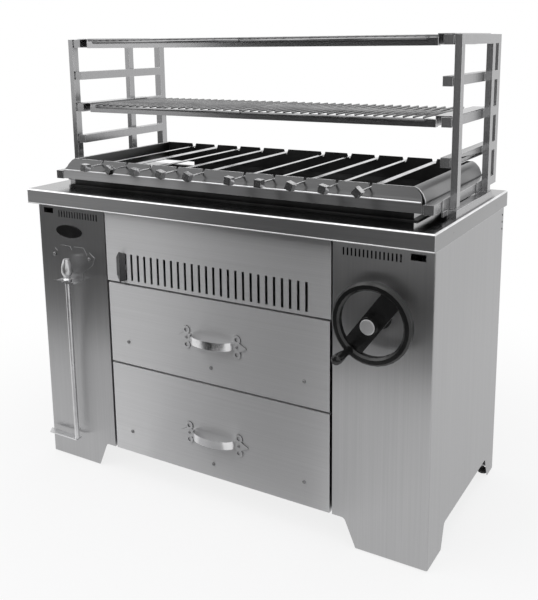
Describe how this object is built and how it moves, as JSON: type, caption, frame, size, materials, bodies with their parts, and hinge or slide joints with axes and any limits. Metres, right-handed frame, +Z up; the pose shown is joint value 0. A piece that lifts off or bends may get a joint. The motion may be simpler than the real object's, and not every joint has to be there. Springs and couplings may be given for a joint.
{
  "type": "robata grill",
  "caption": "Stainless charcoal robata grill: vented cabinet with drawers, crank-lifted fire bed, turning skewers on notched rails and a stepped warming rack with wire shelves.",
  "frame": {"origin": "bottom centre of the whole grill's box, on the floor that its levelling feet stand on", "axes": "+X to the grill's right seen from the cook's side, +Y to the back, +Z up"},
  "size_m": [1.25, 0.7064, 1.2813],
  "materials": {
    "stainless_sheet": "brushed stainless sheet",
    "stainless_bar": "bright stainless tube, wire and bar",
    "fired_steel": "dark steel blackened by heat",
    "black_handle": "satin black moulded handwheel and grip",
    "cap_metal": "plain light grey cap",
    "foot_plastic": "black levelling foot"
  },
  "bodies": {
    "stand": {"worktop": "stainless_sheet", "left_column": "stainless_sheet", "right_column": "stainless_sheet", "front_vent_panel": "stainless_sheet", "back_panel": "stainless_sheet", "base_pan": "stainless_sheet", "bulkhead_left": "stainless_sheet", "bulkhead_right": "stainless_sheet", "bearing_rear": "stainless_sheet", "tool_bracket": "stainless_sheet", "front_rail": "stainless_sheet", "rear_wall": "stainless_sheet", "left_shield": "stainless_sheet", "right_shield": "stainless_sheet", "outer_frame_left": "stainless_sheet", "outer_frame_right": "stainless_sheet", "inner_frame_left": "stainless_sheet", "inner_frame_right": "stainless_sheet", "firebox": "fired_steel", "bearing_front": "fired_steel", "foot_front_left": "foot_plastic", "foot_front_right": "foot_plastic", "foot_rear_left": "foot_plastic", "foot_rear_right": "foot_plastic"},
    "wheel": {"handwheel": "black_handle", "hub_cap": "cap_metal", "lift_shaft": "fired_steel"},
    "grip": {"crank_grip": "black_handle"},
    "lift": {"fire_bed": "fired_steel", "lift_carrier": "fired_steel"},
    "upper_drawer": {"upper_drawer_front": "stainless_sheet", "upper_drawer_box": "stainless_sheet", "upper_drawer_handle": "stainless_bar"},
    "lower_drawer": {"lower_drawer_front": "stainless_sheet", "lower_drawer_box": "stainless_sheet", "lower_drawer_handle": "stainless_bar"},
    "damper": {"damper": "stainless_sheet"},
    "upper_shelf": {"upper_shelf_frame": "stainless_bar", "upper_grid_left": "stainless_bar", "upper_grid_right": "stainless_bar"},
    "lower_shelf": {"lower_shelf_frame": "stainless_bar", "lower_grid_left": "stainless_bar", "lower_grid_right": "stainless_bar"},
    "rake": {"ash_rake": "stainless_bar"},
    "skewer_1": {"skewer_1": "stainless_bar"},
    "skewer_2": {"skewer_2": "stainless_bar"},
    "skewer_3": {"skewer_3": "stainless_bar"},
    "skewer_4": {"skewer_4": "stainless_bar"},
    "skewer_5": {"skewer_5": "stainless_bar"},
    "skewer_6": {"skewer_6": "stainless_bar"},
    "skewer_7": {"skewer_7": "stainless_bar"},
    "skewer_8": {"skewer_8": "stainless_bar"},
    "skewer_9": {"skewer_9": "stainless_bar"},
    "skewer_10": {"skewer_10": "stainless_bar"}
  },
  "joints": [
    {"name": "wheel_turn", "type": "hinge", "parent": "stand", "child": "wheel", "pos_m": [0.487, -0.21485, 0.628], "axis": [0, 1, 0], "range_deg": [-245, 61]},
    {"name": "grip_spin", "type": "hinge", "parent": "wheel", "child": "grip", "pos_m": [0.43513, -0.27815, 0.55815], "axis": [0, 1, 0], "continuous": true},
    {"name": "bed_lift", "type": "slide", "parent": "stand", "child": "lift", "axis": [0, 0, 1], "range_m": [-0.06, 0.015]},
    {"name": "upper_drawer_slide", "type": "slide", "parent": "stand", "child": "upper_drawer", "axis": [0, -1, 0], "range_m": [0, 0.4]},
    {"name": "lower_drawer_slide", "type": "slide", "parent": "stand", "child": "lower_drawer", "axis": [0, -1, 0], "range_m": [0, 0.4]},
    {"name": "damper_slide", "type": "slide", "parent": "stand", "child": "damper", "axis": [-1, 0, 0], "range_m": [0, 0.0115]},
    {"name": "upper_shelf_slide", "type": "slide", "parent": "stand", "child": "upper_shelf", "axis": [0, -1, 0], "range_m": [0, 0.2]},
    {"name": "lower_shelf_slide", "type": "slide", "parent": "stand", "child": "lower_shelf", "axis": [0, -1, 0], "range_m": [0, 0.2]},
    {"name": "rake_lift", "type": "slide", "parent": "stand", "child": "rake", "axis": [0, 0, 1], "range_m": [0, 0.12]},
    {"name": "skewer_1_turn", "type": "hinge", "parent": "stand", "child": "skewer_1", "pos_m": [-0.4231, -0.13385, 0.921], "axis": [0, 1, 0], "continuous": true},
    {"name": "skewer_2_turn", "type": "hinge", "parent": "stand", "child": "skewer_2", "pos_m": [-0.3337, -0.13385, 0.921], "axis": [0, 1, 0], "continuous": true},
    {"name": "skewer_3_turn", "type": "hinge", "parent": "stand", "child": "skewer_3", "pos_m": [-0.2443, -0.13385, 0.921], "axis": [0, 1, 0], "continuous": true},
    {"name": "skewer_4_turn", "type": "hinge", "parent": "stand", "child": "skewer_4", "pos_m": [-0.1549, -0.13385, 0.921], "axis": [0, 1, 0], "continuous": true},
    {"name": "skewer_5_turn", "type": "hinge", "parent": "stand", "child": "skewer_5", "pos_m": [-0.0655, -0.13385, 0.921], "axis": [0, 1, 0], "continuous": true},
    {"name": "skewer_6_turn", "type": "hinge", "parent": "stand", "child": "skewer_6", "pos_m": [0.0655, -0.13385, 0.921], "axis": [0, 1, 0], "continuous": true},
    {"name": "skewer_7_turn", "type": "hinge", "parent": "stand", "child": "skewer_7", "pos_m": [0.1549, -0.13385, 0.921], "axis": [0, 1, 0], "continuous": true},
    {"name": "skewer_8_turn", "type": "hinge", "parent": "stand", "child": "skewer_8", "pos_m": [0.2443, -0.13385, 0.921], "axis": [0, 1, 0], "continuous": true},
    {"name": "skewer_9_turn", "type": "hinge", "parent": "stand", "child": "skewer_9", "pos_m": [0.3337, -0.13385, 0.921], "axis": [0, 1, 0], "continuous": true},
    {"name": "skewer_10_turn", "type": "hinge", "parent": "stand", "child": "skewer_10", "pos_m": [0.4231, -0.13385, 0.921], "axis": [0, 1, 0], "continuous": true}
  ],
  "couplings": [
    {"joint": "bed_lift", "follows": "wheel_turn", "m_per_rad": 0.014}
  ]
}
